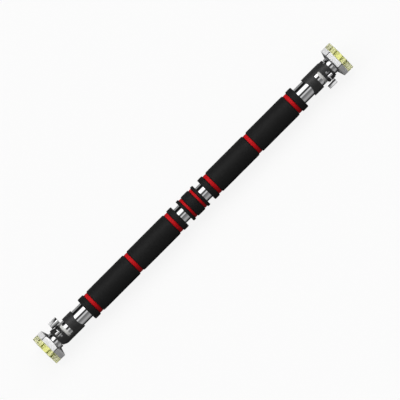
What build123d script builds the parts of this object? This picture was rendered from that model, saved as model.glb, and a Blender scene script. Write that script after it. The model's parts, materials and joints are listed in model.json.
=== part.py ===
from build123d import *
import math
import os

# Telescopic doorway pull up bar. X runs along the bar, +Z is up, and the bar lies on one flat of
# each hexagonal foot. The origin is the bar's mid-point, on its axis. All sizes are millimetres.
# Every end part is drawn for the +X end. The -X end is the same end turned half a turn about Z.
# The tube with its locks lies turned a little about X between the two feet.

# ---------------------------------------------------------------- driving dimensions

bar_length = 730.0            # over both feet, with the feet wound right in
foot_travel = 160.0           # how far each foot winds out
bar_turn = 14.0               # degrees that the tube and its locks lie turned between the feet

tube_radius = 16.0            # main tube, outside
tube_wall = 1.5
guide_wall = 1.5              # radial room between the main tube's bore and the telescoping tube
inner_tube_wall = 1.5
inner_tube_left_inside = 55.0     # what stays in the main tube at full travel

running_gap = 0.05            # radial, where one piece turns or slides on another
seat_gap = 0.05               # radial, where one piece is fixed in another
sleeve_gap = 0.2              # radial, under the soft sleeves
overlap = 0.5                 # how far two shapes of one piece run into each other
past = 1.0                    # how far a cutting shape runs past what it cuts

# soft sleeves along the main tube, from the middle outwards
grip_thickness = 6.5
ring_thickness = 7.0
band_thickness = 5.0
grip_rounding = 2.6
ring_rounding = 1.4
band_rounding = 0.8
center_grip_length = 18.6
center_band_width = 5.2
center_ring_width = 6.1
bare_gap_width = 11.8         # bare tube between the middle and each grip
inner_ring_width = 11.5
band_width = 7.5
end_ring_width = 13.0
bare_end_length = 21.0        # bare tube between the last sleeve and the lock

# foot
foot_flats = 52.0             # across the flats of the hexagon
pad_thickness = 10.8
groove_width = 1.8
groove_depth = 9.0
groove_spots = (7.3, 17.1)    # distances of the grooves from the axis
housing_length = 14.4
cone_length = 4.4             # the housing's cone, from its corners back to the neck
cone_step = 0.8               # the cone's small end, over the neck collar's radius
housing_chamfer = 0.8
housing_web = 2.5
spigot_rim = 6.0              # housing left round the pad's spigot
spigot_depth = 2.0
spigot_gap = 0.2
neck_length = 4.8
neck_rounding = 0.4
foot_screw_radius = 3.0
foot_screw_length = 19.0
foot_head_radius = 5.0
foot_head_height = 3.0
foot_head_rounding = 0.8
foot_socket_flats = 4.0
foot_socket_depth = 2.0
head_pocket_gap = 0.4
tube_plug_length = 24.5

# lock
collar_wall = 2.4
ring_length = 18.0            # the outer ring, round the telescoping tube
window_length = 12.0          # between the outer ring and the collar
collar_length = 21.8          # the fixed collar, screwed to the main tube
ring_rest_gap = 0.5           # between the outer ring and the neck collar
bridge_half_angle = 54.0      # the bar of plastic that joins ring and collar
scallop_depth = 4.8
lock_rounding = 0.8
upper_corner_radius = 14.0
lower_corner_radius = 6.0
lower_corner_height = -8.0    # the larger corner is cut above this height
collar_screw_radius = 1.5
collar_screw_head_radius = 2.6
collar_screw_head_height = 1.2
collar_screw_inset = 0.2      # between the screw's point and the main tube's bore
collar_screw_sunk = 0.1       # the head's top, below the collar's surface
collar_socket_radius = 1.0
collar_socket_depth = 0.7
collar_screw_angles = (-125.0, -55.0)

# flip lever; angles are measured from the lever side, upwards
pivot_angle = 58.0
pivot_pin_radius = 1.5
pin_end_inset = 0.2           # how far a pin's ends lie inside what holds it
ear_radius = 2.7
ear_length = 4.0
cam_radius = 3.0
cam_offset = 0.3              # how far the cam stands off the pin towards the tube
cam_width = 8.5
cam_back_wall = 5.25          # plastic between the outer ring's inner end and the cam
cam_leaf_gap = 0.15           # between the cam and the brake leaf
cam_side_gap = 0.3
cam_swing_gap = 0.4
web_inset = 0.2               # the web, in from the cam's inner end
web_thickness = 1.8
web_lap = 6.0                 # degrees that the web runs on under the plate
slit_gap = 0.3
slit_run = 8.0                # degrees that the slit runs on below the bosses
boss_height = 1.9             # over the lock's outer surface
boss_angles = (24.0, 48.0)
boss_end_step = 1.0           # bosses and ears, in from the outer ring's inner end and past the cam
plate_gap = 2.1               # between the bosses and the plate
plate_thickness = 1.9
plate_angles = (-10.0, 37.0)
plate_length = 17.5
plate_overhang = 6.5          # how far the plate reaches past the ring, over the window
tab_reach = 5.5               # thumb tab, outwards from the plate's end
leaf_thickness = 0.85
leaf_tube_gap = 0.3
leaf_roof_gap = 0.15          # between the leaf and the outer ring's bore
leaf_angles = (48.0, 93.0)
leaf_side_gap = 0.5
leaf_screw_radius = 1.75
leaf_screw_angle = 87.0
leaf_screw_inset = 2.5        # the screw's axis, in from the cam's inner end
leaf_screw_sunk = 0.2
leaf_socket_radius = 0.8
leaf_socket_depth = 1.0
recess_reach = 2.6            # how near to the top line the cam's recess comes
recess_floor_drop = 0.6       # the recess's floor, below the leaf's top line

# screw drive
spindle_radius = 8.0
spindle_rounding = 1.0
spindle_end_margin = 12.0     # spindle left beyond the nut at full travel
nut_length = 22.0
nut_flange_length = 4.0
nut_flange_gap = 0.3          # radial, between the nut's flange and the main tube's bore
guide_ring_length = 25.0
guide_ring_side_gap = 0.3
snap_ring_height = 0.9        # over the telescoping tube's surface
snap_ring_width = 1.5
snap_groove_depth = 0.6
spindle_mount_length = 16.0
spindle_mount_gap = 10.0      # between the nut's flange and the spindle's mount
spindle_tail = 4.0
cross_pin_radius = 2.0
bush_sleeve_length = 25.0
bush_flange_length = 5.3
bush_flange_gap = 0.2

# ---------------------------------------------------------------- radii worked out from those

tube_bore = tube_radius - tube_wall
inner_tube_radius = tube_bore - guide_wall
inner_tube_bore = inner_tube_radius - inner_tube_wall
grip_radius = tube_radius + grip_thickness
ring_radius = tube_radius + ring_thickness
band_radius = tube_radius + band_thickness
nut_flange_radius = tube_bore - nut_flange_gap
snap_ring_radius = inner_tube_radius + snap_ring_height
spigot_flats = foot_flats - 2 * spigot_rim

lock_radius = tube_radius + collar_wall
leaf_top_radius = inner_tube_radius + leaf_tube_gap + leaf_thickness
ring_bore_radius = leaf_top_radius + leaf_roof_gap
pivot_distance = leaf_top_radius + cam_leaf_gap + cam_radius + cam_offset
pivot_y = -pivot_distance * math.cos(math.radians(pivot_angle))
pivot_z = pivot_distance * math.sin(math.radians(pivot_angle))
boss_radius = lock_radius + boss_height
plate_inner_radius = boss_radius + plate_gap

# ---------------------------------------------------------------- places along the +X end

pad_face = bar_length / 2
pad_back = pad_face - pad_thickness
housing_back = pad_back - housing_length
neck_back = housing_back - neck_length
ring_front = neck_back - ring_rest_gap
ring_back = ring_front - ring_length
window_back = ring_back - window_length
collar_back = window_back - collar_length
tube_end = ring_back - bush_flange_gap - bush_flange_length

web_front = pad_back - spigot_depth
web_back = web_front - housing_web
inner_tube_start = tube_end - foot_travel - inner_tube_left_inside
nut_start = inner_tube_start - nut_flange_length
spindle_mount_end = nut_start - spindle_mount_gap
spindle_mount_start = spindle_mount_end - spindle_mount_length
spindle_end = inner_tube_start + nut_length + foot_travel + spindle_end_margin
snap_ring_start = inner_tube_start + guide_ring_length + 2 * guide_ring_side_gap

cross_pin_place = (spindle_mount_start + spindle_mount_end) / 2
collar_screw_place = (collar_back + window_back) / 2

boss_start = ring_back + boss_end_step
cam_start = ring_back + cam_back_wall
cam_end = cam_start + cam_width
boss_end = cam_end + boss_end_step
ear_end = cam_end + ear_length
web_start = cam_start + web_inset
web_end = web_start + web_thickness
plate_start = ring_back - plate_overhang
plate_end = plate_start + plate_length
leaf_screw_place = cam_start + leaf_screw_inset


# ---------------------------------------------------------------- shapes used again and again

def rod(start, end, radius, y=0.0, z=0.0):
    """A round bar along X."""
    return Pos((start + end) / 2, y, z) * Rot(0, 90, 0) * Cylinder(radius, end - start)


def pipe(start, end, outer, inner):
    """A round tube along X."""
    return rod(start, end, outer) - rod(start - past, end + past, inner)


def hexagon(start, end, flats):
    """A hexagonal prism along X, resting on a flat."""
    outline = RegularPolygon(flats / math.sqrt(3), 6)
    return extrude(Plane.YZ.offset(start) * outline, end - start)


def sector(start, end, low, high, reach):
    """A wedge round X between two angles, measured from the lever side upwards."""
    middle = (low + high) / 2
    angles = (high, (middle + high) / 2, middle, (low + middle) / 2, low)
    rim = [(-reach * math.cos(math.radians(a)), reach * math.sin(math.radians(a))) for a in angles]
    return extrude(Plane.YZ.offset(start) * Polygon((0, 0), *rim, align=None), end - start)


def arc_plate(start, end, inner, outer, low, high):
    """Part of a tube's wall, between two angles."""
    return pipe(start, end, outer, inner) & sector(start, end, low, high, 3 * outer)


def radial_rod(place, angle, low, high, radius):
    """A round bar that points away from the axis, at an angle from +Y towards +Z."""
    upright = Pos(0, 0, (low + high) / 2) * Cylinder(radius, high - low)
    return Pos(place, 0, 0) * Rot(angle - 90, 0, 0) * upright


def round_edges(shape, radius, rounding):
    """The shape with its circular edges of one radius rounded."""
    edges = [e for e in shape.edges().filter_by(GeomType.CIRCLE) if abs(e.radius - radius) < 0.01]
    return fillet(edges, rounding)


def sleeve(start, end, radius, rounding):
    """A soft sleeve on the main tube, with rounded outer corners."""
    return round_edges(pipe(start, end, radius, tube_radius + sleeve_gap), radius, rounding)


# ---------------------------------------------------------------- main tube and its sleeves

def main_tube():
    """The chromed tube, drilled for both spindle pins and for the collar screws."""
    tube = pipe(-tube_end, tube_end, tube_radius, tube_bore)
    pin_hole = Pos(cross_pin_place, 0, 0) * Cylinder(cross_pin_radius + seat_gap, 3 * tube_radius)
    drills = [pin_hole]
    for angle in collar_screw_angles:
        drills.append(radial_rod(collar_screw_place, angle, tube_bore - past, tube_radius + past,
                                 collar_screw_radius + seat_gap))
    for drill in drills:
        tube = tube - drill - Rot(0, 0, 180) * drill
    return tube


def sleeves():
    """The sleeves of the +X half, from the middle outwards, as (name, solid)."""
    middle = center_grip_length / 2
    center_ring_start = middle + center_band_width
    inner_ring_start = center_ring_start + center_ring_width + bare_gap_width
    inner_grip_start = inner_ring_start + inner_ring_width + band_width
    end_ring_end = collar_back - bare_end_length
    grip_room = end_ring_end - end_ring_width - 2 * band_width - inner_grip_start
    grip_length = grip_room / 2
    outer_grip_start = inner_grip_start + grip_length + band_width
    end_ring_start = outer_grip_start + grip_length + band_width
    rows = [
        ("center_band", middle, center_band_width, band_radius, band_rounding),
        ("center_ring", center_ring_start, center_ring_width, ring_radius, ring_rounding),
        ("inner_ring", inner_ring_start, inner_ring_width, ring_radius, ring_rounding),
        ("inner_band", inner_ring_start + inner_ring_width, band_width, band_radius, band_rounding),
        ("inner_grip", inner_grip_start, grip_length, grip_radius, grip_rounding),
        ("middle_band", inner_grip_start + grip_length, band_width, band_radius, band_rounding),
        ("outer_grip", outer_grip_start, grip_length, grip_radius, grip_rounding),
        ("outer_band", outer_grip_start + grip_length, band_width, band_radius, band_rounding),
        ("end_ring", end_ring_start, end_ring_width, ring_radius, ring_rounding),
    ]
    return [(name, sleeve(start, start + width, radius, rounding))
            for name, start, width, radius, rounding in rows]


# ---------------------------------------------------------------- screw drive

def spindle_mount():
    """The disc that holds the spindle in the main tube."""
    disc = pipe(spindle_mount_start, spindle_mount_end, tube_bore - seat_gap, spindle_radius + seat_gap)
    hole = Pos(cross_pin_place, 0, 0) * Cylinder(cross_pin_radius + seat_gap, 3 * tube_radius)
    return disc - hole


def spindle():
    """The screw, drawn plain at its outer diameter."""
    shaft = rod(spindle_mount_start - spindle_tail, spindle_end, spindle_radius)
    shaft = round_edges(shaft, spindle_radius, spindle_rounding)
    return shaft - Pos(cross_pin_place, 0, 0) * Cylinder(cross_pin_radius + seat_gap, 3 * tube_radius)


def spindle_pin():
    """The pin through the main tube, the mount and the spindle."""
    return Pos(cross_pin_place, 0, 0) * Cylinder(cross_pin_radius, 2 * (tube_radius - pin_end_inset))


def spindle_nut():
    """The nut pressed in the telescoping tube, with a flange over its end."""
    bore = spindle_radius + running_gap
    body = pipe(inner_tube_start - overlap, inner_tube_start + nut_length, inner_tube_bore - seat_gap, bore)
    flange = pipe(nut_start, inner_tube_start, nut_flange_radius, bore)
    return body + flange


def guide_ring():
    """The plastic ring that carries the telescoping tube's inner end and slides in the main tube."""
    start = inner_tube_start + guide_ring_side_gap
    return pipe(start, start + guide_ring_length, tube_bore - running_gap, inner_tube_radius + running_gap)


def snap_ring():
    """The ring in a groove that keeps the guide ring on the telescoping tube."""
    inner = inner_tube_radius - snap_groove_depth + seat_gap
    return pipe(snap_ring_start, snap_ring_start + snap_ring_width, snap_ring_radius, inner)


def mouth_bush():
    """The flanged bush in the main tube's mouth."""
    bore = inner_tube_radius + running_gap
    body = pipe(tube_end - bush_sleeve_length, tube_end + overlap, tube_bore - seat_gap, bore)
    flange = pipe(tube_end, tube_end + bush_flange_length, tube_radius, bore)
    return body + flange


# ---------------------------------------------------------------- foot

def inner_tube():
    """The telescoping tube, with the snap ring's groove."""
    tube = pipe(inner_tube_start, web_back, inner_tube_radius, inner_tube_bore)
    groove = pipe(snap_ring_start, snap_ring_start + snap_ring_width, inner_tube_radius + past,
                  inner_tube_radius - snap_groove_depth)
    return tube - groove


def tube_plug():
    """The tapped plug fixed in the telescoping tube's outer end."""
    return pipe(web_back - tube_plug_length, web_back, inner_tube_bore - seat_gap,
                foot_screw_radius + seat_gap)


def neck_collar():
    """The chromed collar behind the housing."""
    collar = pipe(neck_back, housing_back, tube_radius, inner_tube_radius + seat_gap)
    return round_edges(collar, tube_radius, neck_rounding)


def hex_housing():
    """The hexagonal foot plate: a coned back with a socket for the tube, a shallow recess in front."""
    corner_radius = foot_flats / math.sqrt(3)
    profile = Polygon((housing_back, 0), (housing_back, tube_radius + cone_step),
                      (housing_back + cone_length, corner_radius), (pad_back, corner_radius),
                      (pad_back, 0), align=None)
    block = chamfer(hexagon(housing_back, pad_back, foot_flats).edges(), housing_chamfer)
    block = block & revolve(profile, Axis.X)
    block = block - rod(housing_back - past, web_back, inner_tube_radius + seat_gap)
    block = block - rod(housing_back, pad_back, foot_screw_radius + running_gap)
    return block - hexagon(web_front, pad_back + past, spigot_flats)


def foot_screw():
    """The screw that holds the housing on the plug, with a socket in its head."""
    shank = rod(web_front - foot_screw_length, web_front + overlap, foot_screw_radius)
    head_end = web_front + foot_head_height
    head = round_edges(rod(web_front, head_end, foot_head_radius), foot_head_radius, foot_head_rounding)
    socket = hexagon(head_end - foot_socket_depth, head_end + past, foot_socket_flats)
    return shank + head - socket


def foot_pad():
    """The clear soft pad: a hexagon with upright grooves, and a spigot in the housing's recess."""
    pad = chamfer(hexagon(pad_back, pad_face, foot_flats).edges(), housing_chamfer)
    pad = pad + hexagon(web_front, pad_back + overlap, spigot_flats - 2 * spigot_gap)
    pad = pad - rod(web_front - past, web_front + foot_head_height + head_pocket_gap,
                    foot_head_radius + head_pocket_gap)
    for spot in groove_spots:
        for side in (-1, 1):
            groove = Box(groove_depth + past, groove_width, 2 * foot_flats,
                         align=(Align.MIN, Align.CENTER, Align.CENTER))
            pad = pad - Pos(pad_face - groove_depth, side * spot, 0) * groove
    return pad


# ---------------------------------------------------------------- lock

def corner_cut(corner_radius, low):
    """What is cut away, above one height, to round the outer ring's corner on the bridge side."""
    center = Pos(ring_front - corner_radius, lock_radius - corner_radius)
    side = corner_radius + past
    square = center * Rectangle(side, side, align=(Align.MIN, Align.MIN))
    disc = center * Circle(corner_radius)
    return Pos(0, 0, low) * extrude(square - disc, lock_radius + past - low)


def lock_shell():
    """The lock body without its lever bosses: collar, bridge and outer ring in one piece."""
    shell = rod(collar_back, ring_front, lock_radius)
    shell = fillet(shell.edges().sort_by(Axis.X)[-1], lock_rounding)
    shell = shell - rod(collar_back - past, ring_back, tube_radius + seat_gap)
    shell = shell - rod(collar_back, ring_front + past, ring_bore_radius)
    window = rod(window_back, ring_back, 2 * lock_radius)
    bridge = sector(window_back - past, ring_back + past, 180 - bridge_half_angle,
                    180 + bridge_half_angle, 4 * lock_radius)
    shell = shell - (window - bridge)
    half_width = lock_radius + past
    scallop_radius = (half_width ** 2 + scallop_depth ** 2) / (2 * scallop_depth)
    scallop = Cylinder(scallop_radius, 4 * lock_radius)
    return shell - Pos(collar_back + scallop_depth - scallop_radius, 0, 0) * scallop


def lock_body():
    """The plastic lock: shell, two bosses beside the lever's web, and ears for its pin."""
    body = lock_shell() - corner_cut(upper_corner_radius, lower_corner_height)
    body = body - corner_cut(lower_corner_radius, -lock_radius - past)
    body = body + arc_plate(boss_start, boss_end, lock_radius - past, boss_radius, *boss_angles)
    ear = rod(boss_start, ear_end, ear_radius, pivot_y, pivot_z)
    body = body + (ear - rod(0, pad_face, ring_bore_radius))
    pocket_radius = cam_radius + cam_offset + cam_swing_gap
    pocket_start = cam_start - cam_side_gap
    pocket_end = cam_end + cam_side_gap
    body = body - rod(pocket_start, pocket_end, pocket_radius, pivot_y, pivot_z)
    recess = Box(pocket_end - pocket_start, -recess_reach - pivot_y, lock_radius,
                 align=(Align.MIN, Align.MIN, Align.MIN))
    body = body - Pos(pocket_start, pivot_y, leaf_top_radius - recess_floor_drop) * recess
    body = body - arc_plate(web_start - slit_gap, web_end + slit_gap, ring_bore_radius - past,
                            boss_radius + past, boss_angles[0] - slit_run, pivot_angle)
    body = body - rod(ring_back - past, ring_front + past, pivot_pin_radius + seat_gap, pivot_y, pivot_z)
    surface = lock_radius + past
    body = body - radial_rod(leaf_screw_place, 180 - leaf_screw_angle, inner_tube_radius, surface,
                             leaf_screw_radius + seat_gap)
    head_seat = lock_radius - collar_screw_head_height
    for angle in collar_screw_angles:
        body = body - radial_rod(collar_screw_place, angle, tube_bore, surface, collar_screw_radius + seat_gap)
        body = body - radial_rod(collar_screw_place, angle, head_seat, surface,
                                 collar_screw_head_radius + seat_gap)
    return body


def collar_screws():
    """Two short screws through the collar into the main tube."""
    screws = []
    seat = lock_radius - collar_screw_head_height
    top = lock_radius - collar_screw_sunk
    for angle in collar_screw_angles:
        shank = radial_rod(collar_screw_place, angle, tube_bore + collar_screw_inset, seat + overlap,
                           collar_screw_radius)
        head = radial_rod(collar_screw_place, angle, seat, top, collar_screw_head_radius)
        socket = radial_rod(collar_screw_place, angle, top - collar_socket_depth, top + past,
                            collar_socket_radius)
        screws.append(shank + head - socket)
    return Compound(screws)


def lever_pin():
    """The pin that the lever turns on, held in the two ears."""
    return rod(boss_start + pin_end_inset, ear_end - pin_end_inset, pivot_pin_radius, pivot_y, pivot_z)


def lock_lever():
    """The flip lever: a cam on the pin, a thin web, a curved plate and a thumb tab."""
    towards_tube = (pivot_distance - cam_offset) / pivot_distance
    lever = rod(cam_start, cam_end, cam_radius, pivot_y * towards_tube, pivot_z * towards_tube)
    plate_outer = plate_inner_radius + plate_thickness
    lever = lever + arc_plate(web_start, web_end, lock_radius + slit_gap, plate_inner_radius + overlap,
                              plate_angles[1] - web_lap, pivot_angle)
    lever = lever + arc_plate(plate_start, plate_end, plate_inner_radius, plate_outer, *plate_angles)
    plate_middle = plate_inner_radius + plate_thickness / 2
    low = math.radians(plate_angles[0])
    root_y = -plate_middle * math.cos(low)
    root_z = plate_middle * math.sin(low)
    tip_y = root_y - tab_reach
    middle = Pos(plate_start + plate_length / 2, (root_y + tip_y) / 2, root_z)
    lever = lever + middle * Box(plate_length, tab_reach, plate_thickness)
    for y in (root_y, tip_y):
        lever = lever + rod(plate_start, plate_end, plate_thickness / 2, y, root_z)
    return lever - rod(0, pad_face, pivot_pin_radius + running_gap, pivot_y, pivot_z)


def brake_leaf():
    """The leaf that the cam presses on the telescoping tube."""
    inner = inner_tube_radius + leaf_tube_gap
    return arc_plate(cam_start + leaf_side_gap, cam_end - leaf_side_gap, inner, inner + leaf_thickness,
                     *leaf_angles)


def leaf_screw():
    """The screw that holds the leaf's end down."""
    angle = 180 - leaf_screw_angle
    top = lock_radius - leaf_screw_sunk
    screw = radial_rod(leaf_screw_place, angle, leaf_top_radius + seat_gap, top, leaf_screw_radius)
    socket = radial_rod(leaf_screw_place, angle, top - leaf_socket_depth, top + past, leaf_socket_radius)
    return screw - socket


# ---------------------------------------------------------------- writing the parts

end_pieces = {
    "spindle_mount": spindle_mount(),
    "spindle": spindle(),
    "spindle_pin": spindle_pin(),
    "spindle_nut": spindle_nut(),
    "guide_ring": guide_ring(),
    "snap_ring": snap_ring(),
    "mouth_bush": mouth_bush(),
    "inner_tube": inner_tube(),
    "tube_plug": tube_plug(),
    "neck_collar": neck_collar(),
    "hex_housing": hex_housing(),
    "foot_screw": foot_screw(),
    "foot_pad": foot_pad(),
    "lock_body": lock_body(),
    "collar_screws": collar_screws(),
    "lever_pin": lever_pin(),
    "lock_lever": lock_lever(),
    "brake_leaf": brake_leaf(),
    "leaf_screw": leaf_screw(),
}
end_pieces.update(sleeves())

foot_pieces = ("spindle_nut", "snap_ring", "inner_tube", "tube_plug", "neck_collar",
               "hex_housing", "foot_screw", "foot_pad")

pieces = {
    "main_tube": Rot(bar_turn, 0, 0) * main_tube(),
    "center_grip": sleeve(-center_grip_length / 2, center_grip_length / 2, grip_radius, grip_rounding),
}
for name, solid in end_pieces.items():
    turn = 0.0 if name in foot_pieces else bar_turn
    pieces["right_" + name] = Rot(turn, 0, 0) * solid
    pieces["left_" + name] = Rot(turn, 0, 0) * Rot(0, 0, 180) * solid

os.makedirs("parts", exist_ok=True)
for name, solid in pieces.items():
    export_step(solid, "parts/" + name + ".step")
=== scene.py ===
# %% [markdown]
# # A telescopic doorway pull up bar
# The bar is a chromed steel tube with soft foam sleeves pushed onto it. At each end a telescoping
# tube winds out on a screw, carries a hexagonal foot with a clear soft pad, and is held by a dark
# plastic lock with a flip lever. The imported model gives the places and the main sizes, so each new
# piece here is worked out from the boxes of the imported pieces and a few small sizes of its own.

import json
import math

import bmesh
import bpy
import numpy as np
from mathutils import Matrix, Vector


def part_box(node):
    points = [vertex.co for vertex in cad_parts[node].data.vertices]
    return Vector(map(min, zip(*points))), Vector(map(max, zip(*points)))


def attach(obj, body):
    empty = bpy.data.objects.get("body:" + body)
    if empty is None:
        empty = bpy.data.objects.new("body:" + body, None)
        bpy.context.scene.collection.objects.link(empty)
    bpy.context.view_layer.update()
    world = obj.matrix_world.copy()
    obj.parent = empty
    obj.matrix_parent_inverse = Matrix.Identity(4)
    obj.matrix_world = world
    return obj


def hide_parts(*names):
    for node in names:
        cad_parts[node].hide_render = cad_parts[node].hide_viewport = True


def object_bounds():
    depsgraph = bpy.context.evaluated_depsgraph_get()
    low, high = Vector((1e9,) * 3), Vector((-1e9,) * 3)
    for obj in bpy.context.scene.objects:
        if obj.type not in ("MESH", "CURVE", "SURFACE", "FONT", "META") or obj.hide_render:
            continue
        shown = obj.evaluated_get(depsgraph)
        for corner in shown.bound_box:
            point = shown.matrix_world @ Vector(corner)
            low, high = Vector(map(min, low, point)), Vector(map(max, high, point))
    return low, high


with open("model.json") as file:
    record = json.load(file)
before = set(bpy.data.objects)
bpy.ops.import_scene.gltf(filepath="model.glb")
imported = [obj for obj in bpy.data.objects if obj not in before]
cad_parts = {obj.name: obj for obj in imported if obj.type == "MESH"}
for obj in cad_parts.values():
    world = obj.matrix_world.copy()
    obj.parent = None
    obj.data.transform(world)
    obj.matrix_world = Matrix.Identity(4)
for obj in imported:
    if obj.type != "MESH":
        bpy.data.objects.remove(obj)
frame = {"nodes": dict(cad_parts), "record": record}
CAD_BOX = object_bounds()
MM = 0.001
SIDES = {"left": -1.0, "right": 1.0}

# %% [markdown]
# ## Shader arithmetic
# A material is a small graph. Writing it node by node hides what it says, so a socket is wrapped in
# a class that understands plain arithmetic: `0.3 + 0.1 * grain` adds the Math nodes by itself. Every
# other node comes from one method, which sets the node's own settings first and its sockets next.


# %% A socket that can be added, multiplied and subtracted
class Wire:
    """An output socket of a node. Arithmetic on it adds Math nodes to the same recipe."""

    def __init__(self, recipe, socket):
        self.recipe = recipe
        self.socket = socket

    def other(self, name):
        """Another output of the same node."""
        return Wire(self.recipe, self.socket.node.outputs[name])

    def __add__(self, value):
        return self.recipe.math("ADD", self, value)

    def __sub__(self, value):
        return self.recipe.math("SUBTRACT", self, value)

    def __rsub__(self, value):
        return self.recipe.math("SUBTRACT", value, self)

    def __mul__(self, value):
        return self.recipe.math("MULTIPLY", self, value)

    __radd__ = __add__
    __rmul__ = __mul__


# %% A material's recipe
class Recipe:
    """A node graph under construction, for a material or for the world."""

    def __init__(self, tree):
        self.tree = tree
        self.tree.nodes.clear()

    def node(self, kind, settings=None, sockets=None, output=0):
        """Any node: its settings, then the value or link of each socket. Returns one output as a Wire."""
        made = self.tree.nodes.new(kind)
        for name, value in (settings or {}).items():
            if name == "stops":
                fill_ramp(made.color_ramp, value)
            else:
                setattr(made, name, value)
        for name, value in (sockets or {}).items():
            if isinstance(value, Wire):
                self.tree.links.new(value.socket, made.inputs[name])
            else:
                made.inputs[name].default_value = value
        return Wire(self, made.outputs[output]) if len(made.outputs) else made

    def math(self, operation, *values):
        """A Math node on one or two values."""
        return self.node("ShaderNodeMath", {"operation": operation}, dict(enumerate(values)))

    def split(self, vector):
        """The X, Y and Z of a vector."""
        x = self.node("ShaderNodeSeparateXYZ", {}, {0: vector}, output="X")
        return x, x.other("Y"), x.other("Z")

    def place(self):
        """The point on the object, in metres, as the object itself measures it."""
        return self.node("ShaderNodeTexCoord", output="Object")

    def noise(self, scale, detail=2.0, stretch=(1.0, 1.0, 1.0)):
        """Cloudy noise from 0 to 1, with scale waves to a metre. stretch scales it along each axis."""
        point = self.node("ShaderNodeMapping", {}, {"Vector": self.place(), "Scale": stretch})
        sockets = {"Vector": point, "Scale": scale, "Detail": detail}
        return self.node("ShaderNodeTexNoise", {}, sockets)

    def blend(self, factor, low, high):
        """A colour between two colours."""
        return self.node("ShaderNodeMix", {"data_type": "RGBA"}, {0: factor, 6: low, 7: high}, output=2)

    def step(self, value, start, end):
        """Goes smoothly from 0 at start to 1 at end; start may be the larger of the two."""
        rising = 1.0 if end > start else 0.0
        sockets = {"Value": value, "From Min": min(start, end), "From Max": max(start, end),
                   "To Min": 1.0 - rising, "To Max": rising}
        return self.node("ShaderNodeMapRange", {"interpolation_type": "SMOOTHSTEP"}, sockets)

    def bump(self, height, distance, strength):
        """A normal tilted by a height field; distance is the height of its full swing, in metres."""
        sockets = {"Height": height, "Distance": distance, "Strength": strength}
        return self.node("ShaderNodeBump", {}, sockets)


def fill_ramp(ramp, stops):
    """Puts (position, brightness) stops into a colour ramp, as greys."""
    while len(ramp.elements) < len(stops):
        ramp.elements.new(0.5)
    for element, (position, brightness) in zip(ramp.elements, stops):
        element.position = position
        element.color = (brightness, brightness, brightness, 1.0)


def finish_material(name, **sockets):
    """Starts a material whose Principled shader has these constants, and returns its recipe and shader."""
    material = bpy.data.materials.new(name)
    material.use_nodes = True
    recipe = Recipe(material.node_tree)
    shader = recipe.tree.nodes.new("ShaderNodeBsdfPrincipled")
    output = recipe.tree.nodes.new("ShaderNodeOutputMaterial")
    recipe.tree.links.new(shader.outputs[0], output.inputs[0])
    for socket, value in sockets.items():
        shader.inputs[socket.replace("_", " ")].default_value = value
    return material, recipe, shader


def plug(recipe, shader, **wires):
    """Links wires to the shader's varying sockets."""
    for socket, wire in wires.items():
        recipe.tree.links.new(wire.socket, shader.inputs[socket.replace("_", " ")])


# %% [markdown]
# ## Finishes
# The sleeves are closed-cell foam: a matt skin with fine pores and slow changes of tone. The tube,
# the neck and the lever are bright nickel-chrome, which is nearly a mirror with faint polishing
# marks. The foot's housing is a satin-plated casting, which scatters light like pale paint more than
# it mirrors, with painted shade in thin dark lines along the edges between its flats, and a polished
# cone behind them. The lock is moulded in a dark glass-filled plastic with a fine grain. The pads are
# clear, slightly yellow soft plastic, painted darker in their grooves as shade. A pattern's scale is
# given in waves to a metre, so 1000 is a grain of about a millimetre.

# %% Foam
def foam(name, dark, light):
    """Closed-cell foam: pores a third of a millimetre across, over a slow drift of tone."""
    material, recipe, shader = finish_material(name, Specular_IOR_Level=0.16)
    pores = recipe.noise(scale=2600.0, detail=3.0)
    drift = recipe.noise(scale=45.0)
    tone = 0.55 * drift + 0.45 * pores
    plug(recipe, shader, Base_Color=recipe.blend(tone, dark, light), Roughness=0.5 + 0.16 * pores,
         Normal=recipe.bump(pores, distance=0.22 * MM, strength=0.6))
    return material


BLACK_FOAM = foam("black_foam", dark=(0.009, 0.009, 0.009, 1), light=(0.015, 0.015, 0.015, 1))
RED_FOAM = foam("red_foam", dark=(0.48, 0.002, 0.005, 1), light=(0.64, 0.004, 0.009, 1))


# %% Bright metal
def plated(name, tint, smooth, rough, mark_depth):
    """Plated metal: a tinted mirror whose roughness drifts, with faint marks drawn along the bar."""
    material, recipe, shader = finish_material(name, Metallic=1.0)
    smudge = recipe.noise(scale=38.0, detail=3.0)
    marks = recipe.noise(scale=1500.0, stretch=(0.03, 1.0, 1.0))
    darker = tuple(0.94 * channel for channel in tint[:3]) + (1,)
    plug(recipe, shader, Base_Color=recipe.blend(smudge, darker, tint),
         Roughness=smooth + (rough - smooth) * smudge,
         Normal=recipe.bump(marks, distance=mark_depth, strength=0.12))
    return material


CHROME = plated("chromed_steel", (0.86, 0.86, 0.87, 1), 0.035, 0.075, 0.004 * MM)
LEVER_CHROME = plated("chromed_lever", (0.97, 0.97, 0.975, 1), 0.06, 0.11, 0.005 * MM)
STEEL = plated("plain_steel", (0.56, 0.56, 0.57, 1), 0.2, 0.34, 0.012 * MM)
BRASS = plated("brass", (0.8, 0.62, 0.3, 1), 0.16, 0.3, 0.008 * MM)


# %% Satin-plated casting
HOUSING_SIDES = 6
CONE_LENGTH = 4.4 * MM
CORNER_OUT, CORNER_IN = 0.04, 0.016


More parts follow.
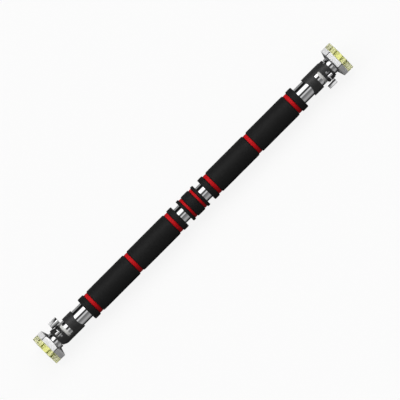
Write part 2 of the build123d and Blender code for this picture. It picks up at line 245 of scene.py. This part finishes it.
def satin_casting(name, cone_top):
    """A barrel-plated casting: matt and light, with a polished cone nearer to the middle of the bar
    than cone_top, and painted shade along its corners, where the chamfered edges show dark. A point's
    angle round the bar is counted in sides: it is whole at a corner, and the colour is painted dark to
    CORNER_IN and left unshaded from CORNER_OUT."""
    material, recipe, shader = finish_material(name)
    cloud = recipe.noise(scale=55.0, detail=3.0)
    grain = recipe.noise(scale=1300.0)
    x, across, up = recipe.split(recipe.place())
    along = recipe.math("ABSOLUTE", x)
    side = recipe.math("ARCTAN2", up, across) * (HOUSING_SIDES / (2 * math.pi))
    # Painted shade: the colour goes dark along each corner of the hexagon, standing in for the dark
    # chamfered edges.
    corner = recipe.step(recipe.math("PINGPONG", side, 0.5), CORNER_OUT, CORNER_IN)
    polish = recipe.step(along, cone_top + 0.5 * MM, cone_top - 0.2 * MM)
    unshaded_tone = recipe.blend(cloud, (0.93, 0.93, 0.94, 1), (0.98, 0.98, 0.985, 1))
    plug(recipe, shader, Base_Color=recipe.blend(corner, unshaded_tone, (0.1, 0.1, 0.1, 1)),
         Metallic=0.12 + 0.8 * polish, Roughness=0.3 + 0.1 * cloud - 0.2 * polish,
         Normal=recipe.bump(grain, distance=0.008 * MM, strength=0.3))
    return material


CONE_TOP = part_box("right_hex_housing")[0][0] + CONE_LENGTH
CAST_CHROME = satin_casting("chromed_casting", CONE_TOP)


# %% Moulded plastic
def moulded(name, low, high, smooth):
    """Moulded plastic: an even fine grain from the mould, and a slow drift in tone and roughness."""
    material, recipe, shader = finish_material(name, Specular_IOR_Level=0.5)
    grain = recipe.noise(scale=1900.0)
    drift = recipe.noise(scale=70.0)
    plug(recipe, shader, Base_Color=recipe.blend(drift, low, high), Roughness=smooth + 0.12 * drift,
         Normal=recipe.bump(grain, distance=0.06 * MM, strength=0.5))
    return material


DARK_PLASTIC = moulded("dark_plastic", (0.018, 0.018, 0.018, 1), (0.03, 0.03, 0.031, 1), 0.42)
WHITE_PLASTIC = moulded("white_plastic", (0.72, 0.72, 0.7, 1), (0.8, 0.8, 0.78, 1), 0.35)


# %% Clear soft plastic
GROOVE_SPOTS = (7.3 * MM, 17.1 * MM)
GROOVE_WIDTH = 1.8 * MM
THICK_REACH, THIN_REACH = 6 * MM, 20 * MM


def clear_pad(name):
    """Clear yellowish soft plastic: most light passes through, softened, and comes out tinted. It is
    yellower near the middle of the hexagon, where there is more of it to look through, and painted
    darker in the grooves, as shade."""
    material, recipe, shader = finish_material(name, IOR=1.42, Transmission_Weight=0.72,
                                               Specular_IOR_Level=0.4)
    cloud = recipe.noise(scale=60.0)
    skin = recipe.noise(scale=900.0)
    _, across, _ = recipe.split(recipe.place())
    aside = recipe.math("ABSOLUTE", across)
    thin = recipe.step(aside, THICK_REACH, THIN_REACH) * (0.85 + 0.15 * cloud)
    tone = recipe.blend(thin, (0.95, 0.96, 0.34, 1), (1.0, 1.0, 0.72, 1))
    # Painted shade: the colour darkens in each groove, standing in for the shade inside it.
    for spot in GROOVE_SPOTS:
        away = recipe.math("ABSOLUTE", aside - spot)
        groove_shade = recipe.step(away, GROOVE_WIDTH, 0.4 * GROOVE_WIDTH)
        tone = recipe.blend(groove_shade, tone, (0.5, 0.52, 0.16, 1))
    plug(recipe, shader, Base_Color=tone, Roughness=0.34 + 0.08 * cloud,
         Normal=recipe.bump(skin, distance=0.03 * MM, strength=0.4))
    return material


PAD_PLASTIC = clear_pad("clear_yellow_pad")

# %% [markdown]
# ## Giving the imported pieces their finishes
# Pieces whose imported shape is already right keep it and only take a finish. The record says which
# slot each one has, and a slot is one finish. The rounded copies made further on take theirs from
# here too.

# %% One finish for each slot
FINISHES = {
    "chromed_steel": CHROME,
    "chromed_casting": CAST_CHROME,
    "chromed_lever": LEVER_CHROME,
    "plain_steel": STEEL,
    "brass": BRASS,
    "black_foam": BLACK_FOAM,
    "red_foam": RED_FOAM,
    "dark_plastic": DARK_PLASTIC,
    "white_plastic": WHITE_PLASTIC,
    "clear_yellow_pad": PAD_PLASTIC,
}
SLOT_OF = {row["node"]: row["material_slot"] for row in frame["record"]["subparts"]}
for node, packed in frame["nodes"].items():
    packed.data.materials.clear()
    packed.data.materials.append(FINISHES[SLOT_OF[node]])
print("finishes given to", len(SLOT_OF), "packed pieces")


# %% [markdown]
# ## Surfaces from numbers
# A turned piece is a closed outline carried round the bar's axis. The outline is a list of points
# (distance along the bar, distance from the axis), and the whole grid of points is worked out at
# once. Rounded corners are arcs in the outline, so the light rolls over them.

# %% A grid of points as a mesh
BODIES = frame["record"]["behaviour"]["bodies"]


def body_of(node):
    """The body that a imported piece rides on."""
    return next(body for body, nodes in BODIES.items() if node in nodes)


def grid_object(name, points, material, ring=True):
    """A closed surface from an array of points (rows, around, 3). Around always closes. The rows
    close too in a ring; otherwise the first and the last are filled in. Each quad's two triangles
    and the origin span a sixth of first . (second x third + third x fourth), so a sum below zero
    says that the faces point inwards, and then they are all turned round."""
    rows, columns = points.shape[:2]
    here = np.arange(rows * columns).reshape(rows, columns)
    below = np.roll(here, -1, axis=0)
    quads = np.stack([here, below, np.roll(below, -1, axis=1), np.roll(here, -1, axis=1)], axis=-1)
    if not ring:
        quads = quads[:-1]
    faces = quads.reshape(-1, 4).tolist()
    if not ring:
        faces += [here[0].tolist(), here[-1, ::-1].tolist()]
    spots = points.reshape(-1, 3)
    first, second, third, fourth = (spots[quads[..., k]] for k in range(4))
    six_volumes = np.sum(first * (np.cross(second, third) + np.cross(third, fourth)))
    if six_volumes < 0:
        faces = [face[::-1] for face in faces]
    mesh = bpy.data.meshes.new(name)
    mesh.from_pydata(spots.tolist(), [], faces)
    mesh.polygons.foreach_set("use_smooth", np.ones(len(mesh.polygons), dtype=bool))
    mesh.update()
    piece = bpy.data.objects.new(name, mesh)
    bpy.context.scene.collection.objects.link(piece)
    mesh.materials.append(material)
    return piece


def corner(center, radius, start, end, steps):
    """Points of an arc: the centre plus the radius times (cosine, sine) of each angle."""
    angle = np.radians(np.linspace(start, end, steps))
    return np.stack([center[0] + radius * np.cos(angle), center[1] + radius * np.sin(angle)], axis=1)


def line(start, end, step):
    """Evenly spaced points between two points, about a step apart, without the two ends."""
    count = max(2, int(round(math.dist(start, end) / step)))
    share = np.linspace(0.0, 1.0, count + 1)[1:-1, None]
    return np.asarray(start) * (1 - share) + np.asarray(end) * share


def sleeve_outline(low, high, inner, outer, rounding):
    """A rounded rectangle between two ends and two radii, with its outer corners rounded more."""
    edge = 0.25 * MM
    step = 1.6 * MM
    top_left = corner((low + rounding, outer - rounding), rounding, 180, 90, 9)
    top_right = corner((high - rounding, outer - rounding), rounding, 90, 0, 9)
    low_right = corner((high - edge, inner + edge), edge, 0, -90, 3)
    low_left = corner((low + edge, inner + edge), edge, -90, -180, 3)
    return np.concatenate([
        top_left, line(top_left[-1], top_right[0], step), top_right,
        line(top_right[-1], low_right[0], step), low_right,
        line(low_right[-1], low_left[0], 4 * step), low_left, line(low_left[-1], top_left[0], step)])


def turned(outline, around, swell):
    """The outline carried round the X axis: y = r cos a, z = r sin a. swell(x, r, a) adds to r."""
    angle = np.linspace(0.0, 2 * np.pi, around, endpoint=False)[None, :]
    along = outline[:, 0][:, None]
    radius = outline[:, 1][:, None] + np.zeros_like(angle)
    radius = radius + swell(along, radius, angle)
    return np.stack([along + np.zeros_like(radius), radius * np.cos(angle), radius * np.sin(angle)], axis=-1)


# %% [markdown]
# ## The foam sleeves
# Each sleeve is an extruded foam tube, cut to length and pushed on with soapy water. Foam is never
# quite true: it draws in a little at each cut end, and its skin waves by a tenth of a millimetre.
# The waves are products of slow sines in length and angle, with each sleeve's own phase, and they
# only ever take away, so that a sleeve stays inside its packed size.

# %% Build each sleeve
TUBE_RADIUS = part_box("main_tube")[1][2]
BORE = TUBE_RADIUS + 0.2 * MM
ROUNDING = {"grip": 2.4 * MM, "ring": 1.6 * MM, "band": 1.0 * MM}
AROUND = 128
WAVE_DEPTH = 0.12 * MM
SHORT_WAVE, LONG_WAVE = 210, 95
CUT_REACH = 2.2 * MM
CUT_DEPTH = 1.4


def foam_swell(low, high, outer, phase):
    """A function of (along, radius, angle) that is zero at the bore and below zero outside it: minus
    WAVE_DEPTH times the wave, from 0 to 1, and CUT_DEPTH times a decay of CUT_REACH from each end.
    SHORT_WAVE and LONG_WAVE are the waves' radians to a metre."""
    def swell(along, radius, angle):
        share = (radius - BORE) / (outer - BORE)
        wave = (np.sin(3 * angle + phase) * np.sin((along - low) * SHORT_WAVE + phase)
                + np.sin(2 * angle - 2 * phase) * np.sin((along - low) * LONG_WAVE + 3 * phase)) / 2
        edge = np.exp(-(along - low) / CUT_REACH) + np.exp(-(high - along) / CUT_REACH)
        return -share * WAVE_DEPTH * (0.5 + 0.5 * wave + CUT_DEPTH * np.clip(edge, 0, 1))
    return swell


def sleeve(node, number):
    """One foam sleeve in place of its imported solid. Its number sets the phase of its waves."""
    low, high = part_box(node)
    outer = high[2]
    rounding = next(ROUNDING[word] for word in ROUNDING if word in node)
    outline = sleeve_outline(low[0], high[0], BORE, outer, rounding)
    points = turned(outline, AROUND, foam_swell(low[0], high[0], outer, phase=1.7 * number))
    piece = grid_object("foam_" + node, points, FINISHES[SLOT_OF[node]])
    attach(piece, body_of(node))
    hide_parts(node)
    return piece


sleeve_nodes = sorted(n for n in frame["nodes"] if SLOT_OF[n] in ("black_foam", "red_foam"))
sleeves = [sleeve(node, number) for number, node in enumerate(sleeve_nodes)]
print("foam sleeves:", len(sleeves))


# %% [markdown]
# ## Moulded and cast pieces
# A moulded or cast piece has no sharp edge: each edge is broken by a small radius, and that is what
# catches the light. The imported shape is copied, its doubled points are joined, its flat faces are
# merged, and a bevel rounds every edge that is sharper than the facets of its curves. A bevel suits
# these pieces because the real radius is much smaller than the piece.

# %% Rounded copies of the lock, the lever and the housing
ROUNDED = {"lock_body": 0.45 * MM, "lock_lever": 0.4 * MM, "hex_housing": 0.45 * MM}
FACET_ANGLE = math.radians(24.0)
FLAT_ANGLE = math.radians(0.4)
SAME_POINT = 0.002 * MM


def rounded_copy(node, radius):
    """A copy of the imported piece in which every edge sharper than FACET_ANGLE is rounded."""
    packed = frame["nodes"][node]
    mesh = packed.data.copy()
    mesh.transform(packed.matrix_world)
    shape = bmesh.new()
    shape.from_mesh(mesh)
    bmesh.ops.remove_doubles(shape, verts=shape.verts, dist=SAME_POINT)
    bmesh.ops.dissolve_limit(shape, angle_limit=FLAT_ANGLE, verts=shape.verts, edges=shape.edges)
    bmesh.ops.recalc_face_normals(shape, faces=shape.faces)
    shape.to_mesh(mesh)
    shape.free()
    mesh.polygons.foreach_set("use_smooth", np.ones(len(mesh.polygons), dtype=bool))
    piece = bpy.data.objects.new("rounded_" + node, mesh)
    bpy.context.scene.collection.objects.link(piece)
    bevel = piece.modifiers.new("edges", "BEVEL")
    bevel.width = radius
    bevel.segments = 3
    bevel.limit_method = "ANGLE"
    bevel.angle_limit = FACET_ANGLE
    bevel.harden_normals = True
    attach(piece, body_of(node))
    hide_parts(node)
    return piece


for side in SIDES:
    for word, radius in ROUNDED.items():
        piece = rounded_copy(side + "_" + word, radius)
        print(piece.name, "faces", len(piece.data.polygons))


# %% [markdown]
# ## The clear pads
# Each pad is moulded in one piece: a thick hexagon with four upright grooves, so that it grips a door
# frame, and a low spigot behind that sits in the housing. The hexagon is swept across the bar: at each
# station y the section is a rounded rectangle. Its half height is that of a hexagon with rounded
# corners, and its front drops where a groove runs. The spigot is a hexagonal ring with a pocket for
# the screw's head.

# %% The pads
PAD_THICKNESS = 10.8 * MM
GROOVE_DEPTH = 9.0 * MM
GROOVE_LIP = 0.35 * MM
PAD_ROUNDING = 0.7 * MM
PAD_CORNER = 2.6 * MM
PAD_BLEND = 1.0 * MM
END_ZONE = 1.2 * MM
EDGE_STEPS = 6
SPIGOT_SHARE = 0.76
SPIGOT_AROUND = 96
POCKET_RADIUS = 5.4 * MM


def pad_half_height(y, flats):
    """Half the height of a hexagon at y: flats in the middle, then falling by tan 60, with an arc of
    PAD_CORNER round each end corner, and a parabola over PAD_BLEND at the other corners."""
    tip = flats / math.cos(math.radians(30))
    slope = (tip - np.abs(y)) * math.sqrt(3)
    overlap = np.maximum(PAD_BLEND - np.abs(flats - slope), 0)
    height = np.minimum(flats, slope) - overlap ** 2 / (4 * PAD_BLEND)
    center = tip - PAD_CORNER / math.sin(math.radians(60))
    arc = np.sqrt(np.maximum(PAD_CORNER ** 2 - (np.abs(y) - center) ** 2, 1e-10))
    return np.where(np.abs(y) > center + PAD_CORNER * math.cos(math.radians(30)), arc, height)


def pad_stations(reach):
    """Where the sections stand: evenly across the pad, closely at each groove's lips and at the ends."""
    even = np.linspace(-reach, reach, 61)
    offsets = np.linspace(-GROOVE_LIP, GROOVE_LIP, 7)
    edges = [spot + way * GROOVE_WIDTH / 2 for spot in GROOVE_SPOTS for way in (-1, 1)]
    lips = [half * edge + offsets for edge in edges for half in (-1, 1)]
    ends = reach - END_ZONE * (1 - np.cos(np.linspace(0.0, math.pi / 2, 9)))
    away = np.min([np.abs(np.abs(even) - spot) for spot in GROOVE_SPOTS], axis=0)
    clear = even[away > GROOVE_WIDTH / 2 + GROOVE_LIP]
    return np.unique(np.concatenate([clear, *lips, ends, -ends]))


def pad_front(y):
    """The pad's thickness at y: full, less the groove's depth, with a cosine step at each lip."""
    away = np.min([np.abs(np.abs(y) - spot) for spot in GROOVE_SPOTS], axis=0) - GROOVE_WIDTH / 2
    step = np.clip((away + GROOVE_LIP) / (2 * GROOVE_LIP), 0.0, 1.0)
    return PAD_THICKNESS - GROOVE_DEPTH * (0.5 + 0.5 * np.cos(math.pi * step))


def pad_points(back, sign, flats, reach):
    """The whole grid: one rounded rectangle of (depth, height) for each station. Each of its corners
    is a centre, which is ahead or back and above or below, plus the radius times (cos, sin)."""
    y = pad_stations(reach)
    half = pad_half_height(y, flats)
    front = pad_front(y)
    radius = np.minimum(PAD_ROUNDING, 0.9 * half)
    turns = np.radians(np.concatenate([np.linspace(k, k + 90, EDGE_STEPS) for k in (0, 90, 180, 270)]))
    ahead = np.repeat([1.0, 0.0, 0.0, 1.0], EDGE_STEPS)
    above = np.repeat([1.0, 1.0, -1.0, -1.0], EDGE_STEPS)
    depth = np.where(ahead > 0, front[:, None] - radius[:, None], radius[:, None])
    depth = depth + radius[:, None] * np.cos(turns)
    height = above * (half - radius)[:, None] + radius[:, None] * np.sin(turns)
    return np.stack([sign * (back + depth), y[:, None] + np.zeros_like(depth), height], axis=-1)


def spigot_points(low, high, sign, flats):
    """A hexagonal ring round the screw's pocket: flats / cos(angle from a face's middle) outside, and
    POCKET_RADIUS inside."""
    angle = np.linspace(0.0, 2 * np.pi, SPIGOT_AROUND, endpoint=False)[None, :]
    face = np.mod(angle, math.pi / 3) - math.pi / 6
    corners = np.array([(low, 0.0), (low, 1.0), (high, 1.0), (high, 0.0)])
    share = corners[:, 1][:, None]
    radius = POCKET_RADIUS + share * (flats / np.cos(face) - POCKET_RADIUS)
    along = sign * corners[:, 0][:, None] + np.zeros_like(radius)
    return np.stack([along, radius * np.cos(angle), radius * np.sin(angle)], axis=-1)


for side, sign in SIDES.items():
    node = side + "_foot_pad"
    low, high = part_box(node)
    face = max(abs(low[0]), abs(high[0]))
    seat = min(abs(low[0]), abs(high[0]))
    back = face - PAD_THICKNESS
    pad = grid_object("pad_" + side, pad_points(back, sign, high[2], high[1]), PAD_PLASTIC, ring=False)
    spigot = grid_object("pad_spigot_" + side, spigot_points(seat, back, sign, SPIGOT_SHARE * high[2]),
                         PAD_PLASTIC)
    for piece in (pad, spigot):
        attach(piece, body_of(node))
        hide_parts(node)
    print(node, "sections", len(pad_stations(high[1])))


# %% [markdown]
# ## Studio
# Chrome shows what stands round it, so the studio is drawn as bands that run along the bar. An angle
# goes round the bar's axis, in degrees: 0 at the horizon behind the bar, 90 overhead and 180 at the
# horizon in front. There is a large bright window high behind, a dark gap overhead, a narrow strip
# light and a grey wall in front, and dark at the horizon behind, with a grey ground below it. The
# ground is painted darkest straight below the bar and low in front, as the bar's shadow on the floor.
# The two ends of the room are dark, which is what the housings' cones show.
#
# The chrome alone sees all these bands. Matt surfaces see only the window and an even grey, so that
# their light can be set by itself. The light that comes through the pads is an even white, and the
# backdrop is plain and pale.

# %% World
# Painted shadow: GROUND is darkest straight below the bar, and LOW_BANDS from 220 to 236 low in front,
# standing in for the bar's shadow on the floor.
GROUND = [(-107, 0.09), (-90, 0.03), (-75, 0.04), (-62, 0.2), (-59, 0.26), (-24, 0.34)]
DARK_BEHIND = [(-8, 0.05), (0, 0.004), (24, 0.004), (32, 0.15)]
WINDOW = [(40, 0.9), (46, 1.9), (72, 1.9), (76, 0.9), (81, 0.25)]
GAP = [(86, 0.04), (92, 0.012), (97, 0.03)]
STRIP_LIGHT = [(103, 0.22), (110, 0.75), (117, 0.7), (128, 0.24), (137, 0.15)]
WALL = [(160, 0.29), (177, 0.42), (180, 0.42)]
BANDS = GROUND + DARK_BEHIND + WINDOW + GAP + STRIP_LIGHT + WALL
LOW_BANDS = [(180, 0.42), (198, 0.3), (208, 0.13), (220, 0.025), (236, 0.01), (253, 0.09)]
SOFT_BANDS = [(-180, 0.2), (36, 0.2), (48, 3.1), (70, 3.1), (82, 0.2), (180, 0.2)]
LOW_JOIN = -106.0
END_START, END_FULL = 0.72, 0.86


def grey(value):
    """An opaque grey."""
    return (value, value, value, 1)


def band_ramp(recipe, angle, stops):
    """Brightness by angle round the bar: linear between stops of (degrees, brightness)."""
    first, last = stops[0][0], stops[-1][0]
    share = (angle - first) * (1 / (last - first))
    placed = [((degrees - first) / (last - first), brightness) for degrees, brightness in stops]
    return recipe.node("ShaderNodeValToRGB", {"stops": placed}, {"Fac": share})


def studio_world():
    """The bands, the dark ends, and what each kind of ray sees of them. The angle runs from -180 to
    180, and below LOW_JOIN it is the low part in front, whose stops go on from 180."""
    world = bpy.data.worlds.new("studio")
    world.use_nodes = True
    bpy.context.scene.world = world
    recipe = Recipe(world.node_tree)
    direction = recipe.node("ShaderNodeTexCoord", output="Generated")
    along, across, up = recipe.split(direction)
    turn = recipe.math("ARCTAN2", up, across) * (180 / math.pi)
    is_low = recipe.math("LESS_THAN", turn, LOW_JOIN)
    high = band_ramp(recipe, turn, BANDS)
    low = band_ramp(recipe, turn + 360.0, LOW_BANDS)
    is_end = recipe.step(recipe.math("ABSOLUTE", along), END_START, END_FULL)
    bands = recipe.blend(is_end, recipe.blend(is_low, high, low), grey(0.03))
    from_camera = recipe.node("ShaderNodeLightPath", output="Is Camera Ray")
    from_matt = from_camera.other("Is Diffuse Ray")
    from_clear = from_camera.other("Is Transmission Ray")
    seen = recipe.blend(from_matt, bands, band_ramp(recipe, turn, SOFT_BANDS))
    seen = recipe.blend(from_clear, seen, grey(1.4))
    seen = recipe.blend(from_camera, seen, grey(0.96))
    light = recipe.node("ShaderNodeBackground", {}, {"Color": seen, "Strength": 1.0})
    recipe.node("ShaderNodeOutputWorld", {}, {"Surface": light})


studio_world()

# %% Floor
# The floor shines evenly by itself, as a lit table does, and keeps only a faint shadow. It stays out
# of the chrome's reflections and out of the light on the bar, where the bands stand for it.
FLOOR_Z = CAD_BOX[0][2]
FLOOR_HALF = 6.0
floor_corners = [(x * FLOOR_HALF, y * FLOOR_HALF, FLOOR_Z) for x, y in ((-1, -1), (1, -1), (1, 1), (-1, 1))]
floor_mesh = bpy.data.meshes.new("floor")
floor_mesh.from_pydata(floor_corners, [], [(0, 1, 2, 3)])
floor = bpy.data.objects.new("floor", floor_mesh)
bpy.context.scene.collection.objects.link(floor)
floor_material, _, _ = finish_material(
    "pale_floor", Base_Color=(0.12, 0.12, 0.12, 1), Roughness=1.0, Specular_IOR_Level=0.0,
    Emission_Color=(1, 1, 1, 1), Emission_Strength=0.88)
floor_mesh.materials.append(floor_material)
floor.visible_diffuse = False
floor.visible_glossy = False
floor.visible_transmission = False

# %% [markdown]
# ## Camera
# The bar is seen almost straight down from a long way off, through a long lens, and the camera is
# rolled so that the bar runs from the lower left to the upper right.

# %% Camera
ELEVATION = math.radians(83.2)
ROLL = math.radians(45.0)
DISTANCE = 11.0
LENS = 569.0
AIM_ALONG = 12.5 * MM
AIM_UP = -4.7 * MM

look = np.array([0.0, math.cos(ELEVATION), -math.sin(ELEVATION)])
level_up = np.array([0.0, math.sin(ELEVATION), math.cos(ELEVATION)])
level_right = np.array([1.0, 0.0, 0.0])
right = math.cos(ROLL) * level_right - math.sin(ROLL) * level_up
up = math.sin(ROLL) * level_right + math.cos(ROLL) * level_up
place = AIM_ALONG * level_right + AIM_UP * level_up - DISTANCE * look
camera = bpy.data.objects.new("camera", bpy.data.cameras.new("camera"))
camera.data.lens = LENS
camera.data.clip_end = 50.0
camera.location = place
camera.rotation_euler = Matrix(np.stack([right, up, -look], axis=1).tolist()).to_euler()
bpy.context.scene.collection.objects.link(camera)
bpy.context.scene.camera = camera
bpy.context.scene.view_settings.view_transform = "Standard"
